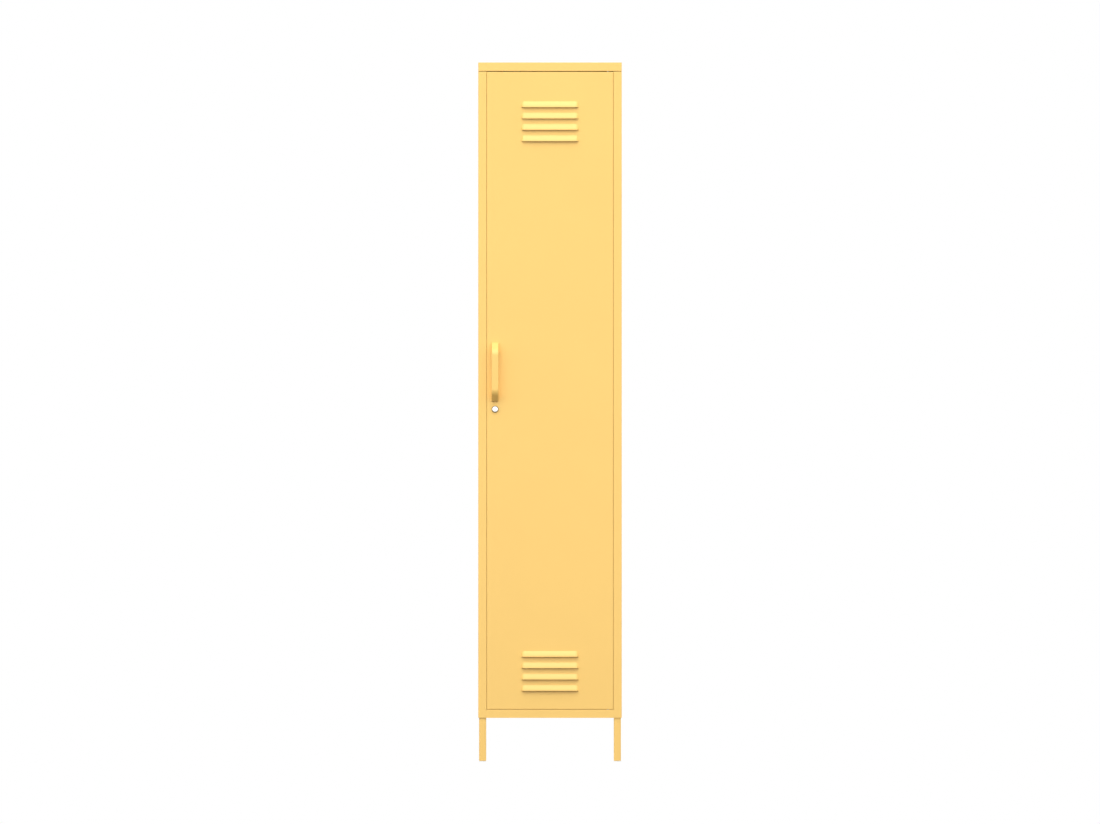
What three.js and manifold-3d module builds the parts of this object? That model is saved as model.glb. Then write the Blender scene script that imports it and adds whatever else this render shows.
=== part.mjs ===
// Tall single-door locker of folded sheet steel, standing on four square legs.
// Millimetres. +X is to the right, +Y to the back and +Z up. The origin lies on the floor,
// under the middle of the overall box, handle included. The door is shown closed and unlocked.

import * as THREE from "three";
import { mergeVertices } from "three/addons/utils/BufferGeometryUtils.js";
import Module from "manifold-3d";

const wasm = await Module();
wasm.setup();

// Carcass
const WIDTH = 380;
const DEPTH = 400; // front face to rear face, without the handle
const HEIGHT = 1850;
const LEG_HEIGHT = 115; // floor to the lower edge of the carcass
const SHEET = 0.8; // thickness of every folded sheet
const BEND = 0.8; // inside radius of a fold
const SEAT = 0.3; // gap between pieces that rest on, or fit into, each other
const LID_HEIGHT = 23;
const LID_LIP = 34; // lip round the lid's underside
const RAIL_HEIGHT = 22; // rail below the door
const POST_WIDTH = 22; // front and rear face of each side panel
const STOP_LIP = 10; // lip of the latch-side post, behind the door
const TOP_FLANGE = 16; // top edge of a side panel, turned in under the lid
const TOP_FLANGE_MARGIN = 6; // from the post and from the back panel
const ANCHOR_RADIUS = 3; // holes in the back panel for fixing the locker to a wall
const ANCHOR_SPACING = 240;
const ANCHOR_DROP = 60; // below the lid

// Legs
const LEG_SIZE = 19;
const LEG_WALL = 1.2;
const LEG_CORNER = 2;
const LEG_INSET = 1.4; // from the inner faces of the carcass corner
const LEG_TAB = 31; // length of the bolting tab beyond the tube
const LEG_PLATE = 2;
const GLIDE_FLANGE = 1.2;
const GLIDE_PLUG = 14;
const LEG_BOLT_RADIUS = 3;
const LEG_BOLT_LENGTH = 12;
const LEG_NUT_RADIUS = 5.8; // across the corners
const LEG_NUT_HEIGHT = 5;

// Shelving
const SHELF_COUNT = 3;
const SHELF_HEIGHT = 22;
const SHELF_LIP = 12;
const SHELF_FRONT = 34; // front edge of a shelf behind the front face
const SHELF_BACK_GAP = 3;
const SHELF_SIDE_GAP = 0.5;
const STRIP_WIDTH = 24; // slotted strips that carry the shelf clips
const STRIP_DEPTH = 7;
const STRIP_INSET = 46; // middle of a strip from the shelf's front or back edge
const STRIP_MARGIN = 40; // above the floor and below the lid
const SLOT_WIDTH = 12;
const SLOT_HEIGHT = 5;
const SLOT_PITCH = 80;
const CLIP = 1.5; // thickness of a shelf clip
const CLIP_WIDTH = 18;
const CLIP_LEDGE = 14;
const CLIP_RISE = 8; // above the middle of its slot
const CLIP_DROP = 12; // below the middle of its slot
const CLIP_HOOK = 4;

// Door
const DOOR_GAP = 0.7; // on either side of the door
const DOOR_HEAD_GAP = 2; // between the door and the lid
const DOOR_DEPTH = 16;
const DOOR_LIP = 11;
const DOOR_STIFFENER_WIDTH = 60;
const DOOR_STIFFENER_RIB = 32;
const DOOR_STIFFENER_DEPTH = 12;
const DOOR_STIFFENER_MARGIN = 35; // from the louvres
const BUMPER_HEIGHT = 1.4; // rubber bumpers between the door and its stop lip
const BUMPER_RADIUS = 4.5;
const BUMPER_MARGIN = 260; // from the door's upper and lower edges

// Louvres
const LOUVRE_COUNT = 4;
const LOUVRE_LENGTH = 150;
const LOUVRE_HEIGHT = 15.5;
const LOUVRE_REACH = 6.5; // how far the lower edge of a hood stands out
const LOUVRE_TAPER = 9; // rounded end of a hood
const LOUVRE_SLIT = 0.8;
const LOUVRE_PITCH = 30;
const LOUVRE_OVERLAP = 1; // flat margin of a hood that runs into the door sheet
const LOUVRE_CURVE = 1.6; // how fully the hood is arched: 1 is a flat slope
const UPPER_LOUVRES_DROP = 93.5; // top of the door to the highest slit
const LOWER_LOUVRES_RISE = 48; // bottom of the door to the lowest slit

// Pivots
const PIVOT_INSET = 14; // axis from the hinge-side edge of the door
const PIVOT_SETBACK = 5; // axis behind the front face
const PIVOT_RADIUS = 2;
const PIVOT_PLAY = 0.15; // radial running clearance
const PIVOT_COLLAR_RADIUS = 3.6;
const PIVOT_COLLAR = 3;
const PIVOT_REACH = 5; // past the sheet that carries the bush
const BUSH_WALL = 0.8;
const BUSH_FLANGE = 0.8;
const BUSH_FLANGE_RADIUS = 3.8;

// Handle and lock
const LATCH_INSET = 22; // handle and lock from the latch-side edge of the door
const HANDLE_MIDDLE = 1030; // above the floor
const HANDLE_LENGTH = 155;
const HANDLE_HOLES = 128; // screw spacing
const HANDLE_WIDTH = 18.5;
const HANDLE_REACH = 30;
const HANDLE_BAR = 9; // thickness of the grip
const HANDLE_FOOT = 25; // length of each foot on the door
const HANDLE_TIP = 4; // thickness of a foot at its outer end
const HANDLE_SLOPE = 22; // outer end of a foot to the straight grip
const HANDLE_EDGE = 2.6; // rounding along the grip
const HANDLE_SCREW_RADIUS = 2;
const HANDLE_SCREW_GRIP = 6; // thread in the handle
const SCREW_HEAD = 2; // height of a pan head
const SCREW_HEAD_RADIUS = 4;
const BACK_SCREW_RADIUS = 2;
const BACK_SCREW_MARGIN = 150; // from the upper and lower ends of the back panel
const LOCK_DROP = 98; // below the middle of the handle
const LOCK_HEAD_RADIUS = 9.2;
const LOCK_HEAD = 4; // how far the lock's head stands out
const LOCK_FACE_RADIUS = 7.4; // front of the tapered head
const LOCK_BODY_RADIUS = 7.8;
const LOCK_PLUG_RADIUS = 5.5;
const LOCK_NUT_RADIUS = 11.5; // across the corners
const LOCK_NUT_HEIGHT = 4;
const KEYWAY_WIDTH = 1.4;
const KEYWAY_HEIGHT = 6.5;
const KEYWAY_DEPTH = 8;
const CAM_LENGTH = 32; // lock axis to the tip of the cam
const CAM_WIDTH = 14;
const CAM_THICKNESS = 2;
const CAM_CLEARANCE = 1.2; // behind the stop lip
const CAM_DRIVE = 6; // square end of the plug
const CAM_SCREW_RADIUS = 1.5;
const CAM_SCREW_LENGTH = 7;

// Magnetic catch under the lid
const CATCH_WIDTH = 46;
const CATCH_DEPTH = 14;
const CATCH_HEIGHT = 14;
const CATCH_INSET = 67; // its middle from the latch-side edge of the door
const CATCH_ROUND = 1;
const MAGNET_WIDTH = 34;
const MAGNET_HEIGHT = 7;
const MAGNET_DEPTH = 5;

// Facets of round pieces
const ROUND = 20;
const SMALL_ROUND = 12;

// Places worked out from the sizes above
const front = (HANDLE_REACH + SEAT - DEPTH) / 2;
const back = front + DEPTH;
const half = WIDTH / 2;
const wallFace = half - SHEET; // inner face of a side wall, from the middle
const jamb = half - POST_WIDTH; // edge of the door opening, from the middle
const fold = SHEET + BEND; // outside radius of a fold
const floorTop = LEG_HEIGHT + RAIL_HEIGHT;
const lidBottom = HEIGHT - LID_HEIGHT;
const sideTop = lidBottom - SEAT;
const doorHalf = jamb - DOOR_GAP;
const doorBottom = floorTop + BUSH_FLANGE + 2 * SEAT;
const doorTop = lidBottom - DOOR_HEAD_GAP;
const stopFace = front + DOOR_DEPTH + BUMPER_HEIGHT + 2 * SEAT;
const postBack = stopFace + SHEET;
const backPanelRear = back - SHEET - SEAT;
const backPanelFront = backPanelRear - SHEET;
const pivotX = doorHalf - PIVOT_INSET;
const pivotY = front + PIVOT_SETBACK;
const bushRadius = PIVOT_RADIUS + PIVOT_PLAY + BUSH_WALL;
const latchX = LATCH_INSET - doorHalf;
const lockZ = HANDLE_MIDDLE - LOCK_DROP;
const camFront = postBack + CAM_CLEARANCE;
const camBack = camFront + CAM_THICKNESS;
const stripFace = wallFace - SEAT - STRIP_DEPTH; // slotted face of a strip, from the middle
const stripBottom = floorTop + STRIP_MARGIN;
const stripTop = sideTop - STRIP_MARGIN;
const slotCount = Math.floor((stripTop - stripBottom - SLOT_PITCH) / SLOT_PITCH) + 1;
const shelfFront = front + SHELF_FRONT;
const shelfBack = backPanelFront - SHELF_BACK_GAP;
const shelfHalf = stripFace - SEAT - CLIP - SHELF_SIDE_GAP;
const legTop = floorTop - SHEET - SEAT;
const legOuter = SHEET + LEG_INSET; // outer faces of a leg from the carcass corner
const backScrewHeights = [floorTop + BACK_SCREW_MARGIN, sideTop - BACK_SCREW_MARGIN];
const handleScrewHeights = [HANDLE_MIDDLE - HANDLE_HOLES / 2, HANDLE_MIDDLE + HANDLE_HOLES / 2];
const catchX = CATCH_INSET - doorHalf;
const catchFront = front + DOOR_DEPTH + SEAT;
const catchTop = lidBottom - SEAT;

// Finishes
const finish = (color, roughness, metalness) => () =>
  new THREE.MeshStandardMaterial({ color, roughness, metalness, flatShading: true });
const paint = finish(0xfcd583, 0.45, 0);
const chrome = finish(0xe6e6e8, 0.12, 1);
const zinc = finish(0xb9bcc0, 0.35, 1);
const nylon = finish(0xe9e7e0, 0.5, 0);
const rubber = finish(0x3a3a3a, 0.9, 0);
const darkPlastic = finish(0x4a4a4c, 0.6, 0);
const ferrite = finish(0x2b2b2e, 0.7, 0);

// Solids

// A closed geometry as a solid, with its faces turned outwards.
function solid(geometry) {
  const bare = new THREE.BufferGeometry();
  bare.setAttribute("position", geometry.getAttribute("position"));
  bare.setIndex(geometry.getIndex());
  const merged = mergeVertices(bare);
  const points = merged.getAttribute("position").array;
  const corner = (i) => new THREE.Vector3().fromArray(points, 3 * i);
  const triangles = [];
  let volume = 0;
  for (let i = 0; i < merged.index.count; i += 3) {
    const [a, b, c] = merged.index.array.subarray(i, i + 3);
    if (a === b || b === c || c === a) continue;
    triangles.push(a, b, c);
    volume += corner(a).dot(corner(b).cross(corner(c)));
  }
  if (volume < 0) triangles.reverse();
  return new wasm.Manifold(
    new wasm.Mesh({ numProp: 3, vertProperties: points, triVerts: new Uint32Array(triangles) }),
  );
}

// A solid as a named mesh.
function piece(name, body, material) {
  const made = body.getMesh();
  const geometry = new THREE.BufferGeometry();
  geometry.setAttribute("position", new THREE.BufferAttribute(made.vertProperties, 3));
  geometry.setIndex(new THREE.BufferAttribute(made.triVerts, 1));
  const mesh = new THREE.Mesh(geometry, material());
  mesh.name = name;
  return mesh;
}

// A block between two corners.
function block([x0, y0, z0], [x1, y1, z1]) {
  const geometry = new THREE.BoxGeometry(x1 - x0, y1 - y0, z1 - z0);
  return solid(geometry.translate((x0 + x1) / 2, (y0 + y1) / 2, (z0 + z1) / 2));
}

// A cylinder along Y or Z between two heights, or a hexagonal prism when it has six sides.
function rod(axis, radius, [x, y, z], length, sides = SMALL_ROUND) {
  const geometry = new THREE.CylinderGeometry(radius, radius, length, sides);
  geometry.translate(0, length / 2, 0);
  if (axis === "z") geometry.rotateX(Math.PI / 2);
  return solid(geometry.translate(x, y, z));
}

// A turned piece: [radius, height] points, with the height along Y or Z.
function turned(axis, profile, [x, y, z], sides = SMALL_ROUND) {
  const points = profile.map(([radius, height]) => new THREE.Vector2(radius, height));
  const geometry = new THREE.LatheGeometry(points, sides);
  if (axis === "z") geometry.rotateX(Math.PI / 2);
  return solid(geometry.translate(x, y, z));
}

// A closed outline through [x, y, radius] corners, each rounded by an arc of that radius.
function roundedShape(corners) {
  const shape = new THREE.Shape();
  corners.forEach(([x, y, radius = 0], i) => {
    const go = i ? "lineTo" : "moveTo";
    if (!radius) {
      shape[go](x, y);
      return;
    }
    const here = new THREE.Vector2(x, y);
    const towards = (j) => {
      const [u, v] = corners[(j + corners.length) % corners.length];
      return new THREE.Vector2(u, v).sub(here).normalize();
    };
    const before = towards(i - 1);
    const after = towards(i + 1);
    const angle = Math.acos(before.dot(after)) / 2;
    const reach = radius / Math.tan(angle);
    const start = here.clone().addScaledVector(before, reach);
    const end = here.clone().addScaledVector(after, reach);
    const middle = before.clone().add(after).normalize();
    const centre = here.clone().addScaledVector(middle, radius / Math.sin(angle));
    const from = start.clone().sub(centre).angle();
    const to = end.clone().sub(centre).angle();
    shape[go](start.x, start.y);
    shape.absarc(centre.x, centre.y, radius, from, to, before.cross(after) > 0);
  });
  shape.closePath();
  return shape;
}

function rectangle(width, length, radius) {
  const [x, y] = [width / 2, length / 2];
  return roundedShape([[-x, -y, radius], [x, -y, radius], [x, y, radius], [-x, y, radius]]);
}

// The outline of a folded sheet. The path runs along one face, and the sheet lies to its left.
function foldedShape(path) {
  const corners = path.map(([x, y]) => new THREE.Vector2(x, y));
  const along = corners.slice(1).map((corner, i) => corner.clone().sub(corners[i]).normalize());
  const nearFace = [];
  const farFace = [];
  path.forEach(([x, y], i) => {
    const before = along[Math.max(i - 1, 0)];
    const after = along[Math.min(i, along.length - 1)];
    const turn = before.cross(after);
    const share = SHEET / (1 + before.dot(after));
    const farX = x - share * (before.y + after.y);
    const farY = y + share * (before.x + after.x);
    const folded = Math.abs(turn) > 0;
    nearFace.push([x, y, folded ? (turn > 0 ? fold : BEND) : 0]);
    farFace.unshift([farX, farY, folded ? (turn > 0 ? BEND : fold) : 0]);
  });
  return roundedShape([...nearFace, ...farFace]);
}

// A shape pushed along Z by a length.
function pushed(shape, length) {
  return new THREE.ExtrudeGeometry(shape, { depth: length, bevelEnabled: false, curveSegments: 1 });
}

// A block with rounded edges, standing on z = 0 round the middle.
function roundedBlock(width, length, height, radius) {
  const outline = rectangle(width, length, radius + BEND / 2);
  return new THREE.ExtrudeGeometry(outline, {
    depth: height - 2 * radius,
    bevelThickness: radius,
    bevelSize: radius,
    bevelOffset: -radius,
    bevelSegments: 2,
    curveSegments: 1,
  }).translate(0, 0, radius);
}

// A sheet pan with its floor up, folded down on four sides, and a lip round its open underside.
// Before it is used, place moves each of its geometries from the middle of that underside.
function pan(width, length, depth, lip, place) {
  const outer = roundedBlock(width, length, depth, fold);
  const hollow = roundedBlock(width - 2 * SHEET, length - 2 * SHEET, depth - 2 * SHEET, BEND);
  const mouth = new THREE.BoxGeometry(width - 2 * lip, length - 2 * lip, 3 * SHEET);
  return solid(place(outer))
    .subtract(solid(place(hollow.translate(0, 0, SHEET))))
    .subtract(solid(place(mouth)));
}

// A pan-head screw or bolt along +Y or +Z: its head from 0 to the head height, then its shank.
function screw(axis, shankRadius, shankLength, headRadius, headHeight, place) {
  const profile = [
    [0, 0],
    [headRadius * 0.6, 0],
    [headRadius, headHeight * 0.6],
    [headRadius, headHeight],
    [shankRadius, headHeight],
    [shankRadius, headHeight + shankLength],
    [0, headHeight + shankLength],
  ];
  return turned(axis, profile, place);
}

// Carcass

// A side panel: wall, front post with its return, rear face, and a top flange under the lid.
// It is made for the left side, from the carcass corner inwards.
function sidePanel(name, hasStop) {
  const path = [
    [POST_WIDTH, DEPTH],
    [0, DEPTH],
    [0, 0],
    [POST_WIDTH, 0],
    [POST_WIDTH, (hasStop ? stopFace : postBack) - front],
  ];
  if (hasStop) path.push([POST_WIDTH + STOP_LIP, stopFace - front]);
  const height = sideTop - LEG_HEIGHT;
  const wall = solid(pushed(foldedShape(path), height).translate(0, 0, LEG_HEIGHT));
  const flange = block(
    [SHEET / 2, postBack - front + TOP_FLANGE_MARGIN, sideTop - SHEET],
    [TOP_FLANGE, backPanelFront - front - TOP_FLANGE_MARGIN, sideTop],
  );
  const floorNotch = block(
    [POST_WIDTH - fold, -SHEET, LEG_HEIGHT - SHEET],
    [POST_WIDTH + STOP_LIP + SHEET, DEPTH + SHEET, floorTop + SEAT],
  );
  let body = wall.add(flange).subtract(floorNotch);
  for (const z of backScrewHeights) {
    const hole = [POST_WIDTH / 2, DEPTH - 2 * SHEET, z];
    body = body.subtract(rod("y", BACK_SCREW_RADIUS + SEAT, hole, 3 * SHEET));
  }
  const panel = piece(name, body, paint);
  panel.position.set(-half, front, 0);
  return panel;
}

function rightSidePanel() {
  const panel = sidePanel("right_side_panel", false);
  panel.scale.x = -1;
  panel.position.x = half;
  return panel;
}

function backPanel() {
  const x = wallFace - SEAT;
  let sheet = block([-x, backPanelFront, floorTop + SEAT], [x, backPanelRear, sideTop]);
  for (const side of [-1, 1]) {
    const hole = [(side * ANCHOR_SPACING) / 2, backPanelFront - SHEET, lidBottom - ANCHOR_DROP];
    sheet = sheet.subtract(rod("y", ANCHOR_RADIUS, hole, 3 * SHEET));
  }
  for (const place of backScrewPlaces()) {
    const hole = [place.x, backPanelFront - SHEET, place.z];
    sheet = sheet.subtract(rod("y", BACK_SCREW_RADIUS + SEAT, hole, 3 * SHEET));
  }
  return piece("back_panel", sheet, paint);
}

function backScrewPlaces() {
  const x = half - POST_WIDTH / 2;
  const [lower, upper] = backScrewHeights;
  return [
    { name: "upper_left", x: -x, z: upper },
    { name: "upper_right", x, z: upper },
    { name: "lower_left", x: -x, z: lower },
    { name: "lower_right", x, z: lower },
  ];
}

// The screws hold the back panel to the rear faces of the side panels, from inside.
function backScrews() {
  return backScrewPlaces().map(({ name, x, z }) => {
    const head = [x, backPanelFront - SEAT - SCREW_HEAD, z];
    const shank = 2 * SEAT + 1.5 * SHEET;
    const body = screw("y", BACK_SCREW_RADIUS, shank, SCREW_HEAD_RADIUS, SCREW_HEAD, head);
    return piece(`back_screw_${name}`, body, zinc);
  });
}

function lid() {
  const place = (geometry) => geometry.translate(0, (front + back) / 2, lidBottom);
  const bushHole = rod("z", bushRadius + SEAT, [pivotX, pivotY, lidBottom - SHEET], 3 * SHEET, ROUND);
  return piece("top_lid", pan(WIDTH, DEPTH, LID_HEIGHT, LID_LIP, place).subtract(bushHole), paint);
}

// The floor pan, folded down into the front rail and the rear rail, with wings over the legs.
function floorPan() {
  const x = jamb + fold - SEAT;
  const wing = wallFace - SEAT;
  const underside = floorTop - SHEET;
  const section = foldedShape([
    [front, LEG_HEIGHT],
    [front, floorTop],
    [back, floorTop],
    [back, LEG_HEIGHT],
  ].reverse());
  const strip = pushed(section, 2 * x).translate(0, 0, -x);
  strip.rotateX(Math.PI / 2).rotateZ(Math.PI / 2);
  let floor = solid(strip);
  const wingEnds = [front + fold + SEAT, back - fold - SEAT];
  floor = floor.add(block([-wing, wingEnds[0], underside], [wing, wingEnds[1], floorTop]));
  const flangeEnd = legOuter + LEG_SIZE + LEG_TAB + LEG_INSET;
  for (const side of [-1, 1]) {
    const faces = [side * wing, side * (wing - SHEET)].sort((a, b) => a - b);
    const flange = block(
      [faces[0], front + flangeEnd, LEG_HEIGHT + SHEET],
      [faces[1], back - flangeEnd, floorTop - SHEET / 2],
    );
    floor = floor.add(flange);
  }
  for (const { x: boltX, y: boltY } of legCorners()) {
    const hole = [boltX, boltY, underside - SHEET];
    floor = floor.subtract(rod("z", LEG_BOLT_RADIUS + SEAT, hole, 3 * SHEET));
  }
  const bushHole = rod("z", bushRadius + SEAT, [pivotX, pivotY, underside - SHEET], 3 * SHEET, ROUND);
  return piece("floor_pan", floor.subtract(bushHole), paint);
}

// Legs

// The four corners, each with its bolt's place; inward gives the signs that point to the middle.
function legCorners() {
  const across = legOuter + LEG_SIZE / 2;
  const along = legOuter + LEG_SIZE + LEG_TAB / 2;
  const corners = [];
  for (const [endName, end, inY] of [["front", front, 1], ["rear", back, -1]]) {
    for (const [sideName, side, inX] of [["left", -half, 1], ["right", half, -1]]) {
      const name = `${endName}_${sideName}`;
      corners.push({ name, side, end, inX, inY, x: side + inX * across, y: end + inY * along });
    }
  }
  return corners;
}

// A square tube with a tab welded across its top and a nut under the tab.
function legBody() {
  const centre = legOuter + LEG_SIZE / 2;
  const bottom = GLIDE_FLANGE + SEAT;
  const tube = rectangle(LEG_SIZE, LEG_SIZE, LEG_CORNER);
  const bore = LEG_SIZE - 2 * LEG_WALL;
  tube.holes.push(rectangle(bore, bore, Math.max(LEG_CORNER - LEG_WALL, LEG_WALL / 2)));
  const shaft = pushed(tube, legTop - LEG_PLATE / 2 - bottom).translate(centre, centre, bottom);
  const tabEnd = legOuter + LEG_SIZE + LEG_TAB;
  const tab = roundedShape([
    [legOuter, legOuter, LEG_CORNER],
    [legOuter + LEG_SIZE, legOuter, LEG_CORNER],
    [legOuter + LEG_SIZE, tabEnd, LEG_CORNER],
    [legOuter, tabEnd, LEG_CORNER],
  ]);
  const plate = pushed(tab, LEG_PLATE).translate(0, 0, legTop - LEG_PLATE);
  const boltAlong = legOuter + LEG_SIZE + LEG_TAB / 2;
  const nutBottom = legTop - LEG_PLATE - LEG_NUT_HEIGHT;
  const nutHeight = LEG_NUT_HEIGHT + LEG_PLATE / 2;
  const nut = rod("z", LEG_NUT_RADIUS, [centre, boltAlong, nutBottom], nutHeight, 6);
  const hole = rod("z", LEG_BOLT_RADIUS + SEAT, [centre, boltAlong, nutBottom - SHEET], LEG_HEIGHT);
  return solid(shaft).add(solid(plate)).add(nut).subtract(hole);
}

function legs() {
  return legCorners().map(({ name, side, end, inX, inY }) => {
    const leg = piece(`leg_${name}`, legBody(), paint);
    leg.position.set(side, end, 0);
    leg.scale.set(inX, inY, 1);
    return leg;
  });
}

// A plastic glide pushed into the foot of each leg.
function glides() {
  const plug = LEG_SIZE - 2 * LEG_WALL - 2 * SEAT;
  const overlap = GLIDE_FLANGE / 2;
  const sole = solid(roundedBlock(LEG_SIZE, LEG_SIZE, GLIDE_FLANGE, GLIDE_FLANGE / 4));
  const stem = roundedBlock(plug, plug, GLIDE_PLUG + overlap, LEG_WALL / 2).translate(0, 0, overlap);
  return legCorners().map(({ name, side, end, inX, inY }) => {
    const glide = piece(`glide_${name}`, sole.add(solid(stem)), nylon);
    const centre = legOuter + LEG_SIZE / 2;
    glide.position.set(side + inX * centre, end + inY * centre, 0);
    return glide;
  });
}

function legBolts() {
  return legCorners().map(({ name, x, y }) => {
    const head = [0, 0, 0];
    const body = screw("z", LEG_BOLT_RADIUS, LEG_BOLT_LENGTH, LEG_NUT_RADIUS, LEG_BOLT_RADIUS, head);
    const bolt = piece(`leg_bolt_${name}`, body, zinc);
    bolt.rotation.x = Math.PI;
    bolt.position.set(x, y, floorTop + SEAT + LEG_BOLT_RADIUS);
    return bolt;
  });
}

// Shelving

const slotHeight = (slot) => stripBottom + SLOT_PITCH / 2 + slot * SLOT_PITCH;

function stripPlaces() {
  const places = [];
  for (const [endName, y] of [["front", shelfFront + STRIP_INSET], ["rear", shelfBack - STRIP_INSET]]) {
    for (const [sideName, inX] of [["left", 1], ["right", -1]]) {
      places.push({ name: `${endName}_${sideName}`, y, inX });
    }
  }
  return places;
}

// A slotted channel on the side wall. It is made for the left side, from the wall inwards.
function shelfStrip() {
  const edge = STRIP_WIDTH / 2;
  const section = foldedShape([[0, -edge], [STRIP_DEPTH, -edge], [STRIP_DEPTH, edge], [0, edge]]);
  let strip = solid(pushed(section, stripTop - stripBottom).translate(0, 0, stripBottom));
  for (let slot = 0; slot < slotCount; slot += 1) {
    const z = slotHeight(slot);
    strip = strip.subtract(
      block(
        [STRIP_DEPTH - 2 * SHEET, -SLOT_WIDTH / 2, z - SLOT_HEIGHT / 2],
        [STRIP_DEPTH + SHEET, SLOT_WIDTH / 2, z + SLOT_HEIGHT / 2],
      ),
    );
  }
  return strip;
}

function shelfStrips() {
  return stripPlaces().map(({ name, y, inX }) => {
    const strip = piece(`shelf_strip_${name}`, shelfStrip(), paint);
    strip.position.set(-inX * (wallFace - SEAT), y, 0);
    strip.scale.x = inX;
    return strip;
  });
}

// A clip hooked into a slot. It is made for the left side, from the slotted face and the slot's middle.
function shelfClip() {
  const width = CLIP_WIDTH / 2;
  const tab = SLOT_WIDTH / 2 - SEAT;
  const tabTop = SLOT_HEIGHT / 2 - SEAT;
  const hookBack = -SHEET - SEAT - CLIP;
  const plate = block([SEAT, -width, -CLIP_DROP], [SEAT + CLIP, width, CLIP_RISE]);
  const ledge = block([SEAT, -width, -CLIP_DROP], [SEAT + CLIP_LEDGE, width, CLIP - CLIP_DROP]);
  const tongue = block([hookBack, -tab, -tabTop], [SEAT + CLIP / 2, tab, tabTop]);
  const hook = block([hookBack, -tab, -tabTop - CLIP_HOOK], [-SHEET - SEAT, tab, tabTop]);
  return plate.add(ledge).add(tongue).add(hook);
}

const shelfSlot = (shelf) => Math.round(((shelf + 1) * slotCount) / (SHELF_COUNT + 1));

function shelves() {
  const pieces = [];
  for (let shelf = 0; shelf < SHELF_COUNT; shelf += 1) {
    const slotZ = slotHeight(shelfSlot(shelf));
    const bottom = slotZ - CLIP_DROP + CLIP + SEAT;
    const place = (geometry) => geometry.translate(0, (shelfFront + shelfBack) / 2, bottom);
    const tray = pan(2 * shelfHalf, shelfBack - shelfFront, SHELF_HEIGHT, SHELF_LIP, place);
    pieces.push(piece(`shelf_${shelf + 1}`, tray, paint));
    for (const { name, y, inX } of stripPlaces()) {
      const clip = piece(`shelf_${shelf + 1}_clip_${name}`, shelfClip(), zinc);
      clip.position.set(-inX * stripFace, y, slotZ);
      clip.scale.x = inX;
      pieces.push(clip);
    }
  }
  return pieces;
}

// Door

// Turns a geometry made with its open side down so that the open side faces the back.
const facingBack = (geometry, z) => geometry.rotateX(Math.PI / 2).translate(0, front + DOOR_DEPTH, z);

const upperSlit = (row) => doorTop - UPPER_LOUVRES_DROP - row * LOUVRE_PITCH;
const lowerSlit = (row) => doorBottom + LOWER_LOUVRES_RISE + row * LOUVRE_PITCH;

// A hood pressed out of the door sheet above a slit: a flat strip, arched forward.
function louvreHood(slitZ) {
  const flat = LOUVRE_LENGTH / 2 - LOUVRE_TAPER;
  const [endSteps, rows] = [3, 4];
  const columns = endSteps + 2;
  const geometry = new THREE.BoxGeometry(2 * columns, SHEET, rows + 1, 2 * columns, 1, rows + 1);
  const points = geometry.getAttribute("position");
  for (let i = 0; i < points.count; i += 1) {
    const column = Math.round(points.getX(i));
    const row = Math.round(points.getZ(i) + (rows + 1) / 2);
    const end = THREE.MathUtils.clamp((Math.abs(column) - 1) / endSteps, 0, 1);
    const rise = Math.min(row / rows, 1);
    const bow = Math.sqrt(1 - end * end) * (1 - rise ** LOUVRE_CURVE);
    const x = flat + end * LOUVRE_TAPER + (Math.abs(column) === columns ? LOUVRE_OVERLAP : 0);
    const z = rise * LOUVRE_HEIGHT + (row > rows ? LOUVRE_OVERLAP : 0);
    const y = front + SHEET / 2 + points.getY(i) - LOUVRE_REACH * bow;
    points.setXYZ(i, Math.sign(column) * x, y, slitZ + z);
  }
  return solid(geometry);
}

function louvreSlot(slitZ) {
  const x = LOUVRE_LENGTH / 2;
  return block([-x, front - SHEET, slitZ - LOUVRE_SLIT], [x, front + 2 * SHEET, slitZ + LOUVRE_HEIGHT]);
}

function doorPanel() {
  const middle = (doorBottom + doorTop) / 2;
  const place = (geometry) => facingBack(geometry, middle);
  let door = pan(2 * doorHalf, doorTop - doorBottom, DOOR_DEPTH, DOOR_LIP, place);
  for (let row = 0; row < LOUVRE_COUNT; row += 1) {
    for (const slit of [upperSlit(row), lowerSlit(row)]) {
      door = door.subtract(louvreSlot(slit)).add(louvreHood(slit));
    }
  }
  const drilled = front - SHEET;
  const through = 3 * SHEET;
  door = door.subtract(rod("y", LOCK_BODY_RADIUS + SEAT, [latchX, drilled, lockZ], through, ROUND));
  for (const z of handleScrewHeights) {
    door = door.subtract(rod("y", HANDLE_SCREW_RADIUS + SEAT, [latchX, drilled, z], through));
  }
  for (const z of [doorBottom - SHEET, doorTop - 2 * SHEET]) {
    door = door.subtract(rod("z", PIVOT_RADIUS + SEAT, [pivotX, pivotY, z], through, ROUND));
  }
  return piece("door_panel", door, paint);
}

// A hat-section rib on the inner face of the door, between the two sets of louvres.
function doorStiffener() {
  const [edge, rib] = [DOOR_STIFFENER_WIDTH / 2, DOOR_STIFFENER_RIB / 2];
  const face = front + SHEET + SEAT;
  const crown = face + DOOR_STIFFENER_DEPTH;
  const section = foldedShape([
    [-edge, face],
    [-rib, face],
    [-rib, crown],
    [rib, crown],
    [rib, face],
    [edge, face],
  ]);
  const bottom = lowerSlit(LOUVRE_COUNT - 1) + LOUVRE_HEIGHT + DOOR_STIFFENER_MARGIN;
  const top = upperSlit(LOUVRE_COUNT - 1) - DOOR_STIFFENER_MARGIN;
  return piece("door_stiffener", solid(pushed(section, top - bottom).translate(0, 0, bottom)), paint);
}

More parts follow.
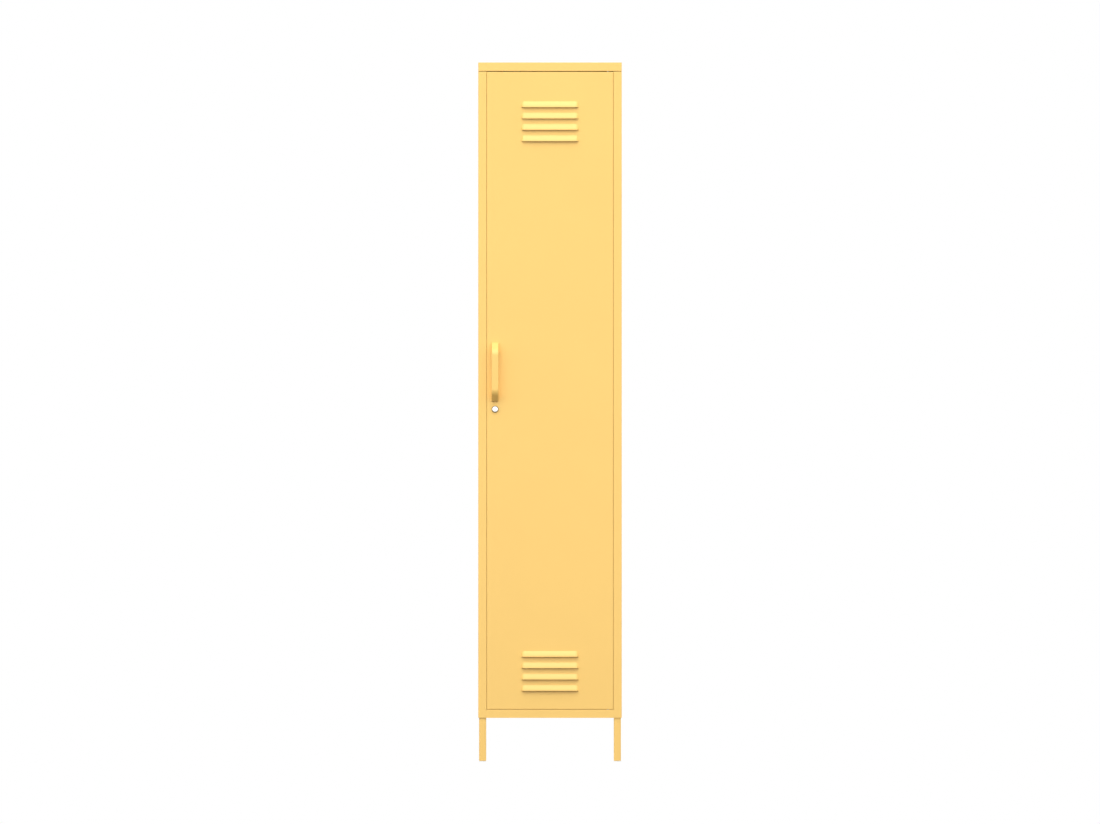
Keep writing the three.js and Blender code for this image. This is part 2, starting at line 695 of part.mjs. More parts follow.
// Rubber bumpers on the stop lip.
function bumpers() {
  const x = -jamb + STOP_LIP / 2;
  const heights = { upper: doorTop - BUMPER_MARGIN, lower: doorBottom + BUMPER_MARGIN };
  const profile = [
    [0, 0],
    [BUMPER_RADIUS * 0.75, 0],
    [BUMPER_RADIUS, BUMPER_HEIGHT * 0.6],
    [BUMPER_RADIUS, BUMPER_HEIGHT],
    [0, BUMPER_HEIGHT],
  ];
  return Object.entries(heights).map(([name, z]) =>
    piece(`door_bumper_${name}`, turned("y", profile, [x, front + DOOR_DEPTH + SEAT, z]), rubber),
  );
}

// Pivots

// A pin with a collar against the inside of the door's edge, reaching through its bush.
function pivotPin(name, edge, away, reach) {
  const collar = edge - away * (SHEET + SEAT);
  const end = edge + away * reach;
  const profile = [
    [0, collar - away * PIVOT_COLLAR],
    [PIVOT_COLLAR_RADIUS, collar - away * PIVOT_COLLAR],
    [PIVOT_COLLAR_RADIUS, collar],
    [PIVOT_RADIUS, collar],
    [PIVOT_RADIUS, end],
    [0, end],
  ];
  return piece(name, turned("z", profile, [pivotX, pivotY, 0], ROUND), zinc);
}

// A flanged bush in the sheet between two heights, with its flange on the upper face.
function pivotBush(name, sheetBottom, sheetTop) {
  const bore = PIVOT_RADIUS + PIVOT_PLAY;
  const flange = sheetTop + SEAT;
  const profile = [
    [bore, sheetBottom],
    [bushRadius, sheetBottom],
    [bushRadius, flange],
    [BUSH_FLANGE_RADIUS, flange],
    [BUSH_FLANGE_RADIUS, flange + BUSH_FLANGE],
    [bore, flange + BUSH_FLANGE],
    [bore, sheetBottom],
  ];
  return piece(name, turned("z", profile, [pivotX, pivotY, 0], ROUND), nylon);
}

// Handle

// A bow handle: its side outline, pushed across by its width with rounded edges.
// The outline runs on behind the door's face, and is cut off flat there.
function handle() {
  const end = HANDLE_LENGTH / 2;
  const grip = end - HANDLE_SLOPE;
  const surplus = -2 * HANDLE_EDGE;
  const bend = HANDLE_SLOPE * 0.7;
  const upper = [
    [end - HANDLE_FOOT, surplus],
    [end, surplus],
    [end, HANDLE_TIP, HANDLE_EDGE * 1.6],
    [grip, HANDLE_REACH, bend],
  ];
  const opening = [[grip - HANDLE_BAR / 2, HANDLE_REACH - HANDLE_BAR, bend / 2]];
  const mirrored = (points) => points.map(([along, out, radius]) => [-along, out, radius]).reverse();
  const outline = roundedShape([...upper, ...mirrored(upper), ...mirrored(opening), ...opening]);
  const bar = new THREE.ExtrudeGeometry(outline, {
    depth: HANDLE_WIDTH - 2 * HANDLE_EDGE,
    bevelThickness: HANDLE_EDGE,
    bevelSize: HANDLE_EDGE,
    bevelOffset: -HANDLE_EDGE,
    bevelSegments: 2,
    curveSegments: 3,
  });
  bar.translate(0, 0, HANDLE_EDGE - HANDLE_WIDTH / 2).rotateY(-Math.PI / 2).rotateZ(Math.PI);
  const foot = front - SEAT;
  let body = solid(bar.translate(latchX, foot, HANDLE_MIDDLE)).subtract(
    block(
      [latchX - HANDLE_WIDTH, foot, HANDLE_MIDDLE - HANDLE_LENGTH],
      [latchX + HANDLE_WIDTH, foot - 2 * surplus, HANDLE_MIDDLE + HANDLE_LENGTH],
    ),
  );
  const depth = HANDLE_SCREW_GRIP + SEAT;
  for (const z of handleScrewHeights) {
    const hole = [latchX, foot - depth, z];
    body = body.subtract(rod("y", HANDLE_SCREW_RADIUS + SEAT, hole, depth + SHEET));
  }
  return piece("door_handle", body, paint);
}

// A screw that runs forward from the place of its head's rear face.
function forwardScrew(name, radius, length, [x, y, z]) {
  const body = screw("y", radius, length, SCREW_HEAD_RADIUS, SCREW_HEAD, [0, 0, 0]);
  const mesh = piece(name, body, zinc);
  mesh.rotation.x = Math.PI;
  mesh.position.set(x, y, z);
  return mesh;
}

function handleScrews() {
  const rear = front + SHEET + SEAT + SCREW_HEAD;
  const length = SHEET + 2 * SEAT + HANDLE_SCREW_GRIP;
  return ["lower", "upper"].map((name, i) => {
    const place = [latchX, rear, handleScrewHeights[i]];
    return forwardScrew(`handle_screw_${name}`, HANDLE_SCREW_RADIUS, length, place);
  });
}

// Lock

const lockFace = -SEAT - LOCK_HEAD; // front of the lock's head, from the front face
const lockEnd = camFront - front - SEAT;

function lockHousing() {
  const bore = LOCK_PLUG_RADIUS + SEAT;
  const profile = [
    [bore, lockFace],
    [LOCK_FACE_RADIUS, lockFace],
    [LOCK_HEAD_RADIUS, -SEAT],
    [LOCK_BODY_RADIUS, -SEAT],
    [LOCK_BODY_RADIUS, lockEnd],
    [bore, lockEnd],
    [bore, lockFace],
  ];
  return piece("lock_housing", turned("y", profile, [latchX, front, lockZ], ROUND), chrome);
}

function lockNut() {
  const place = [latchX, front + SHEET + SEAT, lockZ];
  const hole = [latchX, front, lockZ];
  const nut = rod("y", LOCK_NUT_RADIUS, place, LOCK_NUT_HEIGHT, 6);
  const bore = rod("y", LOCK_BODY_RADIUS + SEAT, hole, DOOR_DEPTH, ROUND);
  return piece("lock_nut", nut.subtract(bore), zinc);
}

// The plug turns in the housing. Its keyway is at the front and its square end carries the cam.
function lockPlug() {
  const face = lockFace + SEAT;
  const profile = [
    [0, face],
    [LOCK_PLUG_RADIUS, face],
    [LOCK_PLUG_RADIUS, lockEnd],
    [0, lockEnd],
  ];
  const square = CAM_DRIVE / 2;
  const driveEnd = camBack - SEAT;
  const drive = block(
    [latchX - square, front + lockEnd - SHEET, lockZ - square],
    [latchX + square, driveEnd, lockZ + square],
  );
  const keyway = block(
    [latchX - KEYWAY_WIDTH / 2, front + face - SHEET, lockZ - KEYWAY_HEIGHT / 2],
    [latchX + KEYWAY_WIDTH / 2, front + face + KEYWAY_DEPTH, lockZ + KEYWAY_HEIGHT / 2],
  );
  const threadDepth = CAM_SCREW_LENGTH + SEAT;
  const thread = [latchX, driveEnd - threadDepth, lockZ];
  const body = turned("y", profile, [latchX, front, lockZ], ROUND)
    .add(drive)
    .subtract(keyway)
    .subtract(rod("y", CAM_SCREW_RADIUS + SEAT, thread, threadDepth + SHEET));
  return piece("lock_plug", body, chrome);
}

// The cam hangs down when the lock is open, and swings behind the stop lip when it is locked.
function lockCam() {
  const edge = CAM_WIDTH / 2;
  const outline = roundedShape([
    [-edge, edge, edge * 0.8],
    [-edge, -CAM_LENGTH, edge / 2],
    [edge, -CAM_LENGTH, edge / 2],
    [edge, edge, edge * 0.8],
  ]);
  const square = CAM_DRIVE + 2 * SEAT;
  outline.holes.push(rectangle(square, square));
  const plate = pushed(outline, CAM_THICKNESS).rotateX(Math.PI / 2).translate(latchX, camBack, lockZ);
  return piece("lock_cam", solid(plate), zinc);
}

function camScrew() {
  const rear = [latchX, camBack + SEAT + SCREW_HEAD, lockZ];
  return forwardScrew("lock_cam_screw", CAM_SCREW_RADIUS, CAM_SCREW_LENGTH, rear);
}

// Catch

// The catch holds the closed door by its upper lip.
function magneticCatch() {
  const middle = catchTop - CATCH_HEIGHT / 2;
  const [x, z] = [MAGNET_WIDTH / 2 + SEAT, MAGNET_HEIGHT / 2 + SEAT];
  const housing = roundedBlock(CATCH_WIDTH, CATCH_DEPTH, CATCH_HEIGHT, CATCH_ROUND);
  housing.translate(catchX, catchFront + CATCH_DEPTH / 2, catchTop - CATCH_HEIGHT);
  const recess = block(
    [catchX - x, catchFront - SHEET, middle - z],
    [catchX + x, catchFront + MAGNET_DEPTH + SEAT, middle + z],
  );
  const magnet = block(
    [catchX - MAGNET_WIDTH / 2, catchFront, middle - MAGNET_HEIGHT / 2],
    [catchX + MAGNET_WIDTH / 2, catchFront + MAGNET_DEPTH, middle + MAGNET_HEIGHT / 2],
  );
  return [
    piece("magnetic_catch", solid(housing).subtract(recess), darkPlastic),
    piece("catch_magnet", magnet, ferrite),
  ];
}

// Assembly

const cabinet = new THREE.Group();
cabinet.add(sidePanel("left_side_panel", true), rightSidePanel(), backPanel(), lid(), floorPan());
cabinet.add(...legs(), ...glides(), ...legBolts(), ...backScrews());
cabinet.add(...shelfStrips(), ...shelves());
cabinet.add(...bumpers(), ...magneticCatch());
cabinet.add(pivotBush("upper_pivot_bush", lidBottom, lidBottom + SHEET));
cabinet.add(pivotBush("lower_pivot_bush", floorTop - SHEET, floorTop));

const lockBarrel = new THREE.Group();
lockBarrel.add(lockPlug(), lockCam(), camScrew());

const door = new THREE.Group();
door.add(doorPanel(), doorStiffener(), handle(), ...handleScrews());
door.add(lockHousing(), lockNut(), lockBarrel);
door.add(pivotPin("upper_pivot_pin", doorTop, 1, DOOR_HEAD_GAP + SHEET + PIVOT_REACH));
door.add(pivotPin("lower_pivot_pin", doorBottom, -1, doorBottom - floorTop + SHEET + PIVOT_REACH));

const locker = new THREE.Group();
locker.add(cabinet, door);
export default locker;
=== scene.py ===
"""Looks of a tall single-door steel locker on four square legs.

Metres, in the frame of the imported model: +X to the right, the door towards -Y, +Z up.
"""

import math

import bmesh
import bpy
from mathutils import Matrix, Vector


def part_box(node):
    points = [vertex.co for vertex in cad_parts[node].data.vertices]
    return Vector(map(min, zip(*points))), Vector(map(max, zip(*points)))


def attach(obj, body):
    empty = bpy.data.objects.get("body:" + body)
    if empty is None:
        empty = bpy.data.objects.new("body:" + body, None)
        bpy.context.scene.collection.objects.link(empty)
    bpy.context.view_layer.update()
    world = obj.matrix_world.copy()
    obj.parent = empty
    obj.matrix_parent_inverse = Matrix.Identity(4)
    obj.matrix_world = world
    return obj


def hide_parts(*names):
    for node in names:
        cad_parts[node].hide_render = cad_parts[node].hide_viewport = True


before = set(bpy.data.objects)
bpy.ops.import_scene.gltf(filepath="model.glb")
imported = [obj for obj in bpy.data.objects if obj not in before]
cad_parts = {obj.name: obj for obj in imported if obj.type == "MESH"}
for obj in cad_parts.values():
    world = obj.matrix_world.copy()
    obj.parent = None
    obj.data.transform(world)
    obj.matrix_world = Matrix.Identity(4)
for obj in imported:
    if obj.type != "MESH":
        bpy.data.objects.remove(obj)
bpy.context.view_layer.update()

MM = 0.001

# Sheet metal
SHEET = 0.8 * MM
BEND = 0.15 * MM
FOLD = SHEET + BEND
SEAT = 0.3 * MM
POST_WIDTH = 22 * MM
POST_NOTCH = 1.6 * MM
STOP_LIP = 10 * MM
TOP_FLANGE = 16 * MM
TOP_FLANGE_FRONT = 7 * MM
TOP_FLANGE_BACK = 8 * MM
FLOOR_FLANGE_INSET = 53 * MM
LID_LIP = 34 * MM
DOOR_LIP = 11 * MM
SHELF_LIP = 12 * MM
ANCHOR_RADIUS = 3 * MM
ANCHOR_SPACING = 240 * MM
ANCHOR_DROP = 60 * MM
DRILL_LENGTH = 4 * SHEET

# Louvres
LOUVRE_ROWS = 4
LOUVRE_LENGTH = 150 * MM
LOUVRE_HEIGHT = 15.5 * MM
LOUVRE_REACH = 6.5 * MM
LOUVRE_TAPER = 8 * MM
LOUVRE_SLIT = 0.8 * MM
LOUVRE_PITCH = 30 * MM
LOUVRE_CURVE = 1.6
UPPER_LOUVRES_DROP = 93.5 * MM
LOWER_LOUVRES_RISE = 48.5 * MM
DOOR_FOOT = 0.5 * MM  # how much lower than its node the door hangs, for the fine gap under it

# Legs
CORNERS = ("front_left", "front_right", "rear_left", "rear_right")
LEG_WALL = 1.2 * MM
LEG_CORNER = 2 * MM
LEG_TAB = 31 * MM
LEG_PLATE = 2 * MM
LEG_NUT_RADIUS = 5.8 * MM
LEG_NUT_HEIGHT = 5 * MM
LEG_BOLT_RADIUS = 3 * MM

# Handle
HANDLE_FOOT = 25 * MM
HANDLE_TIP = 4 * MM
HANDLE_SLOPE = 22 * MM
HANDLE_BAR = 9 * MM
HANDLE_EDGE = 2.2 * MM
HANDLE_CROWN = 0.7 * MM
HANDLE_WAIST = 0.02
HANDLE_BEND = HANDLE_SLOPE * 1.1
HANDLE_NOSE = HANDLE_EDGE * 1.8

# Screws, pivots and lock
SCREW_HEAD = 2 * MM
SCREW_RADIUS = 2 * MM
CAM_SCREW_RADIUS = 1.5 * MM
SCREW_DOME = 0.8  # of the head's height
RECESS_DEPTH = 0.6  # of the head's height
RECESS_HALF_WIDTH = 0.12  # of the head's radius
RECESS_HALF_LENGTH = 0.62  # of the head's radius
PIVOT_RADIUS = 2 * MM
PIVOT_COLLAR = 3 * MM
BUSH_WALL = 0.8 * MM
BUSH_FLANGE = 0.8 * MM
EDGE_BREAK = 0.25 * MM
LOCK_HEAD = 4 * MM
LOCK_FACE_RADIUS = 7.4 * MM
LOCK_PLUG_RADIUS = 5.5 * MM
LOCK_BODY_RADIUS = 7.8 * MM
KEYWAY_WIDTH = 1.4 * MM
KEYWAY_HEIGHT = 6.5 * MM
KEYWAY_DEPTH = 8 * MM
CAM_DRIVE = 6 * MM

# Smoothness
ARC_STEPS = 6
TURN_STEPS = 56
LOUVRE_STEPS = 12
HANDLE_STEPS = 24
SHARP_ANGLE = math.radians(25)
SOFT_EDGE = 0.2 * MM
MERGE_DISTANCE = 0.0002 * MM
WELD_DISTANCE = 0.001 * MM

# Camera and light
VIEW_WIDTH = 2.9117
VIEW_HEIGHT = 0.9247
CAMERA_DISTANCE = 6
FLOOR_REACH = 8
DOME_LIGHT = 1.5
LOWER_LIGHT = 0.15
WALL_LIGHT = 1

# Places in the frame
side_low, side_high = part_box("left_side_panel")
lid_low, lid_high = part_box("top_lid")
door_low, door_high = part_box("door_panel")
door_low.z -= DOOR_FOOT
LEFT = lid_low.x
RIGHT = lid_high.x
FRONT = side_low.y
BACK = side_high.y
FLOOR_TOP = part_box("floor_pan")[1].z
DOOR_MIDDLE = (door_low.z + door_high.z) / 2
STOP_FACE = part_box("door_bumper_upper")[1].y + SEAT


def middle(node):
    low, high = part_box(node)
    return (low + high) / 2


# Finishes


class Link:
    """A shader output that takes part in Python sums."""

    def __init__(self, shading, socket):
        self.shading = shading
        self.socket = socket

    def sum(self, operation, first, second):
        return self.shading.node("ShaderNodeMath", {"operation": operation}, {0: first, 1: second})

    def __add__(self, other):
        return self.sum("ADD", self, other)

    __radd__ = __add__

    def __sub__(self, other):
        return self.sum("SUBTRACT", self, other)

    def __rsub__(self, other):
        return self.sum("SUBTRACT", other, self)

    def __mul__(self, other):
        return self.sum("MULTIPLY", self, other)

    __rmul__ = __mul__


class Shading:
    """The shader nodes of a material or of the world."""

    def __init__(self, owner):
        owner.use_nodes = True
        self.owner = owner
        self.nodes = owner.node_tree.nodes

    def node(self, kind, settings, inputs, output=0):
        """Adds a node: first its settings, then the values or links of its sockets."""
        made = self.nodes.new(kind)
        for key, value in settings.items():
            setattr(made, key, value)
        for key, value in inputs.items():
            self.feed(made.inputs[key], value)
        return Link(self, made.outputs[output])

    def feed(self, socket, value):
        if isinstance(value, Link):
            self.owner.node_tree.links.new(value.socket, socket)
        else:
            socket.default_value = value

    def finish(self, **values):
        """Feeds the main shader: base_color goes to Base Color, and so on."""
        for key, value in values.items():
            self.feed(self.nodes["Principled BSDF"].inputs[key.replace("_", " ").title()], value)
        return self.owner

    def noise(self, scale, detail=2, roughness=0.5):
        place = self.node("ShaderNodeTexCoord", {}, {}, "Object")
        inputs = {"Vector": place, "Scale": scale, "Detail": detail, "Roughness": roughness}
        return self.node("ShaderNodeTexNoise", {}, inputs)

    def mix(self, share, first, second):
        inputs = {0: share, 6: (*first, 1), 7: (*second, 1)}
        return self.node("ShaderNodeMix", {"data_type": "RGBA"}, inputs, 2)

    def ramp(self, value, start, end):
        """Rises smoothly from 0 at a start to 1 at an end."""
        inputs = {"Value": value, "From Min": start, "From Max": end}
        return self.node("ShaderNodeMapRange", {"interpolation_type": "SMOOTHSTEP"}, inputs)

    def bump(self, height, distance, strength):
        inputs = {"Height": height, "Distance": distance, "Strength": strength}
        return self.node("ShaderNodeBump", {}, inputs)


def material(slot):
    """The shading of a material for one of the record's slots."""
    made = bpy.data.materials.new(f"{slot}_finish")
    made["slot"] = slot
    return Shading(made)


def shade(colour, amount):
    return [channel * amount for channel in colour]


def powder_coat():
    """Semi-matt yellow powder coat: fine orange peel over sheet that isn't quite flat."""
    yellow = (0.98, 0.63, 0.175)
    coat = material("yellow_powder_coat")
    drift = coat.noise(7, 3)
    height = coat.noise(5.5, 1) + 0.12 * coat.noise(620, 2, 0.6)
    return coat.finish(
        base_color=coat.mix(drift, shade(yellow, 0.98), shade(yellow, 1.02)),
        roughness=0.4 + 0.1 * coat.noise(90, 3),
        normal=coat.bump(height, 0.25 * MM, 0.4),
        coat_weight=0.1,
        coat_roughness=0.35,
    )


def chrome_plate():
    """Bright on the lock's face and satin round its tapered rim, where the colour is painted darker as
    shade.
    """
    chrome = material("chrome_plate")
    haze = chrome.noise(260, 4)
    axis = middle("lock_housing") * Vector((1, 0, 1))
    place = chrome.node("ShaderNodeTexCoord", {}, {}, "Object")
    flat = chrome.node("ShaderNodeVectorMath", {"operation": "MULTIPLY"}, {0: place, 1: (1, 0, 1)})
    reach = chrome.node("ShaderNodeVectorMath", {"operation": "DISTANCE"}, {0: flat, 1: axis}, "Value")
    # Painted shade: the base colour turns dark round the tapered rim, to stand for the shade round the
    # lock's head.
    rim = chrome.ramp(reach, LOCK_FACE_RADIUS - 2 * EDGE_BREAK, LOCK_FACE_RADIUS + EDGE_BREAK)
    return chrome.finish(
        base_color=chrome.mix(rim, (0.95, 0.95, 0.95), (0.3, 0.29, 0.27)),
        metallic=1,
        roughness=0.06 + 0.08 * haze + 0.2 * rim,
        normal=chrome.bump(chrome.noise(900), 0.01 * MM, 0.3),
    )


def zinc_plate():
    """Bright zinc, with the faint cloudiness of a plated surface."""
    zinc = material("zinc_plated_steel")
    cloud = zinc.noise(140, 4, 0.65)
    return zinc.finish(
        base_color=zinc.mix(cloud, (0.5, 0.52, 0.54), (0.68, 0.69, 0.7)),
        metallic=1,
        roughness=0.26 + 0.18 * cloud,
        normal=zinc.bump(zinc.noise(1500), 0.01 * MM, 0.5),
    )


def moulded(name, colour, roughness, grain):
    """A moulded plastic, rubber or ferrite with a fine grain."""
    made = material(name)
    tone = made.noise(60, 3)
    return made.finish(
        base_color=made.mix(tone, shade(colour, 0.9), shade(colour, 1.1)),
        roughness=roughness + 0.1 * tone,
        normal=made.bump(made.noise(grain, 3), 0.05 * MM, 0.6),
    )


PAINT = powder_coat()
CHROME = chrome_plate()
ZINC = zinc_plate()
NYLON = moulded("white_nylon", (0.8, 0.78, 0.72), 0.4, 800)
RUBBER = moulded("black_rubber", (0.04, 0.04, 0.04), 0.75, 1200)
PLASTIC = moulded("grey_plastic", (0.07, 0.07, 0.075), 0.5, 1000)
FERRITE = moulded("ferrite", (0.03, 0.03, 0.034), 0.6, 1800)


# Solids


def rounded(corners, steps=ARC_STEPS):
    """Points of a closed outline through (x, y, radius) corners, each rounded by an arc."""
    points = []
    for i, (x, y, radius) in enumerate(corners):
        here = Vector((x, y))
        if radius == 0:
            points.append(here)
            continue
        before = (Vector(corners[i - 1][:2]) - here).normalized()
        after = (Vector(corners[(i + 1) % len(corners)][:2]) - here).normalized()
        half = before.angle(after) / 2
        centre = here + (before + after).normalized() * radius / math.sin(half)
        start = here + before * radius / math.tan(half) - centre
        end = here + after * radius / math.tan(half) - centre
        turn = -start.angle_signed(end)
        points += [centre + Matrix.Rotation(turn * step / steps, 2) @ start for step in range(steps + 1)]
    return points


def rectangle(width, length, radius):
    x, y = width / 2, length / 2
    return rounded([(-x, -y, radius), (x, -y, radius), (x, y, radius), (-x, y, radius)])


def folded(path):
    """The outline of a folded sheet: the path runs along one face, and the sheet lies to its left."""
    path = [Vector(point) for point in path]
    ways = [(b - a).normalized() for a, b in zip(path, path[1:])]
    near, far = [], []
    for i, point in enumerate(path):
        before, after = ways[max(i - 1, 0)], ways[min(i, len(ways) - 1)]
        turn = before.cross(after)
        total = before + after
        shift = Vector((-total.y, total.x)) * SHEET / (1 + before.dot(after))
        radii = (FOLD, BEND) if turn > 0 else (BEND, FOLD)
        near.append((*point, radii[0] if turn else 0))
        far.append((*(point + shift), radii[1] if turn else 0))
    return rounded(near + far[::-1])


def stitch(bm, first, second, ring=True):
    """Joins two rows of points by faces, also where neighbours are one and the same point."""
    count = len(first)
    for i in range(count if ring else count - 1):
        j = (i + 1) % count
        corners = [first[i], first[j], second[j], second[i]]
        bm.faces.new([p for k, p in enumerate(corners) if p is not corners[k - 1]])


def closed(bm):
    bmesh.ops.remove_doubles(bm, verts=bm.verts, dist=MERGE_DISTANCE)
    bmesh.ops.recalc_face_normals(bm, faces=bm.faces)
    return bm


def moved(bm, matrix):
    bmesh.ops.transform(bm, matrix=matrix, verts=bm.verts)
    return closed(bm)


def joined(*solids):
    whole = bmesh.new()
    for solid in solids:
        mesh = bpy.data.meshes.new("solid")
        solid.to_mesh(mesh)
        whole.from_mesh(mesh)
        bpy.data.meshes.remove(mesh)
    return whole


def prism(outline, low, high, hole=None):
    """An outline pushed along Z. A hole has as many points as its outline."""
    bm = bmesh.new()
    outlines = [outline, hole] if hole else [outline]
    loops = [[[bm.verts.new((*p, z)) for p in points] for z in (low, high)] for points in outlines]
    for rings in loops:
        stitch(bm, *rings)
    for end in (0, 1):
        if hole:
            stitch(bm, loops[0][end], loops[1][end])
        else:
            bm.faces.new(loops[0][end])
    return closed(bm)


def turned(profile, steps=TURN_STEPS):
    """A solid turned round Z from (radius, height) points."""
    bm = bmesh.new()
    angles = [math.tau * step / steps for step in range(steps)]
    rows = [[bm.verts.new((r * math.cos(a), r * math.sin(a), h)) for r, h in profile] for a in angles]
    for first, second in zip(rows, rows[1:] + rows[:1]):
        stitch(bm, first, second, ring=False)
    return closed(bm)


def block(low, high):
    bm = bmesh.new()
    bmesh.ops.create_cube(bm, size=1)
    low, high = Vector(low), Vector(high)
    return moved(bm, Matrix.Translation((low + high) / 2) @ Matrix.Diagonal((*(high - low), 1)))


def along(axis, place):
    """Turns a solid's +Z to an axis, at a place."""
    turns = {"+y": -90, "-y": 90, "-z": 180, "+z": 0}
    return Matrix.Translation(place) @ Matrix.Rotation(math.radians(turns[axis]), 4, "X")


def rod(axis, place, radius, length):
    """A rod with its middle at a place, for drilling."""
    half = length / 2
    return moved(turned([(0, -half), (radius, -half), (radius, half), (0, half)]), along(axis, place))


def plain(name, bm):
    mesh = bpy.data.meshes.new(name)
    bm.to_mesh(mesh)
    obj = bpy.data.objects.new(name, mesh)
    bpy.context.scene.collection.objects.link(obj)
    return obj


def carved(bm, *tools, operation="DIFFERENCE"):
    """A solid with other solids cut from it, or joined to it."""
    body = plain("carved", bm)
    cutters = [plain("cutter", tool) for tool in tools]
    for cutter in cutters:
        change = body.modifiers.new("carve", "BOOLEAN")
        change.operation = operation
        change.solver = "MANIFOLD"
        change.object = cutter
    graph = bpy.context.evaluated_depsgraph_get()
    mesh = bpy.data.meshes.new_from_object(body.evaluated_get(graph))
    result = bmesh.new()
    result.from_mesh(mesh)
    for obj in (body, *cutters):
        bpy.data.objects.remove(obj)
    return result


def piece(name, bm, finish, body, node):
    """A smooth piece that rides on a body, in place of a node of the frame."""
    obj = plain(name, bm)
    obj.data.materials.append(finish)
    obj.data.shade_smooth()
    obj.data.set_sharp_from_angle(angle=SHARP_ANGLE)
    keep_flats(obj)
    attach(obj, body)
    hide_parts(node)


def keep_flats(obj):
    weigh = obj.modifiers.new("flats", "WEIGHTED_NORMAL")
    weigh.keep_sharp = True


# Folded pans: lid, shelves and door


def pan(us, vs, depth, lip, press=None, is_cut=None):
    """A sheet pan with its face in the U-V plane and its lips behind it, at a positive W.

    us and vs are the lines of the face's grid, from fold to fold. press gives how far a point of
    the face is pressed forward, and is_cut tells whether a cell of the grid is cut out.
    """
    bm = bmesh.new()
    heights = [[press(u, v) if press else 0 for u in us] for v in vs]
    grids = []
    for level in (0, SHEET):
        rows = zip(vs, heights)
        grids.append([[bm.verts.new((u, v, level - h)) for u, h in zip(us, row)] for v, row in rows])
    cells = [(i, j) for j in range(len(vs) - 1) for i in range(len(us) - 1)]
    cut = set()
    if is_cut:
        cut = {(i, j) for i, j in cells if is_cut((us[i] + us[i + 1]) / 2, (vs[j] + vs[j + 1]) / 2)}
    for i, j in cells:
        if (i, j) in cut:
            wall_cut(bm, grids, cut, i, j)
            continue
        for grid in grids:
            bm.faces.new((grid[j][i], grid[j][i + 1], grid[j + 1][i + 1], grid[j + 1][i]))
    rims = [edge(bm, grid, rows) for grid, rows in zip(grids, edge_rows(depth, lip))]
    stitch(bm, *rims)
    return closed(bm)


def wall_cut(bm, grids, cut, i, j):
    """Walls through the sheet, round a cell that is cut out."""
    outer, inner = grids
    sides = [((i, j), (i + 1, j), (i, j - 1)), ((i, j + 1), (i + 1, j + 1), (i, j + 1))]
    sides += [((i, j), (i, j + 1), (i - 1, j)), ((i + 1, j), (i + 1, j + 1), (i + 1, j))]
    for (a, b), (c, d), neighbour in sides:
        if neighbour not in cut:
            bm.faces.new((outer[b][a], outer[d][c], inner[d][c], inner[b][a]))


def edge_rows(depth, lip):
    """For the outer and the inner face: how far out, and how deep, the rows round the pan lie."""
    quarter = [math.pi / 2 * step / ARC_STEPS for step in range(ARC_STEPS + 1)]
    for radius, level in ((FOLD, 0), (BEND, SHEET)):
        front = [(radius * math.sin(a), level + radius * (1 - math.cos(a))) for a in quarter[1:]]
        rear = [(radius * math.cos(a), depth - FOLD + radius * math.sin(a)) for a in quarter]
        yield [*front, *rear, (FOLD - lip, depth - level)]


def edge(bm, grid, rows):
    """Adds the folds, side walls and lips behind a face, and gives back the last row of points."""
    rim = rim_points(grid)
    ring = [point for point, way in rim]
    for out, deep in rows:
        following = []
        for point, way in rim:
            reach = way if out > 0 else mitred(way)
            place = (point.co.x + out * reach[0], point.co.y + out * reach[1], deep)
            following.append(bm.verts.new(place))
        stitch(bm, ring, following)
        ring = following
    return ring


def mitred(way):
    """A way out with each of its parts in full, for the mitred corners of a lip."""
    return [math.copysign(1, part) if abs(part) > 1e-6 else 0 for part in way]


def rim_points(grid):
    """The points round a grid, each with its way out: a corner comes once for each way of its arc."""
    sides = [
        (grid[0], -90),
        ([row[-1] for row in grid], 0),
        (grid[-1][::-1], 90),
        ([row[0] for row in grid][::-1], 180),
    ]
    rim = []
    for points, angle in sides:
        arc = [angle - 90 + 90 * step / ARC_STEPS for step in range(ARC_STEPS + 1)]
        turns = [(points[0], turn) for turn in arc] + [(point, angle) for point in points[1:-1]]
        rim += [(p, (math.cos(math.radians(t)), math.sin(math.radians(t)))) for p, t in turns]
    return rim


def tray(node, lip):
    """A plain pan with its face up, filling the box of a node."""
    low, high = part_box(node)
    size = high - low
    lines = [[(side / 2 - FOLD) * step / 2 for step in range(-2, 3)] for side in size[:2]]
    centre = (low + high) / 2
    face_up = Matrix.Translation((centre.x, centre.y, high.z)) @ Matrix.Diagonal((1, 1, -1, 1))
    return moved(pan(*lines, size.z, lip), face_up)


# Carcass


def side_panel(side, has_stop):
    """A side wall with its post, the post's return, and a rear face. The right one is mirrored."""
    depth = BACK - FRONT
    stop = STOP_FACE - FRONT
    bottom, top = side_low.z, side_high.z
    path = [(POST_WIDTH, depth), (0, depth), (0, 0), (POST_WIDTH, 0)]
    if has_stop:
        path += [(POST_WIDTH, stop), (POST_WIDTH + STOP_LIP, stop)]
    else:
        path += [(POST_WIDTH, stop + SHEET)]
    wall = prism(folded(path), bottom, top)
    notch = block(
        (POST_WIDTH - POST_NOTCH, -SHEET, bottom - SHEET),
        (POST_WIDTH + STOP_LIP + SHEET, depth + SHEET, FLOOR_TOP + SEAT),
    )
    post_top = block((-SHEET, -SHEET, top - SHEET), (POST_WIDTH + SHEET, FOLD, top + SHEET))
    flange = block(
        (SHEET / 2, stop + TOP_FLANGE_FRONT, top - SHEET),
        (TOP_FLANGE, depth - TOP_FLANGE_BACK, top - SEAT / 10),
    )
    panel = carved(carved(wall, notch, post_top), flange, operation="UNION")
    place = Matrix.Translation((LEFT, FRONT, 0))
    if not has_stop:
        place = Matrix.Translation((RIGHT, FRONT, 0)) @ Matrix.Diagonal((-1, 1, 1, 1))
    piece(f"{side}_side", moved(panel, place), PAINT, "cabinet", f"{side}_side_panel")


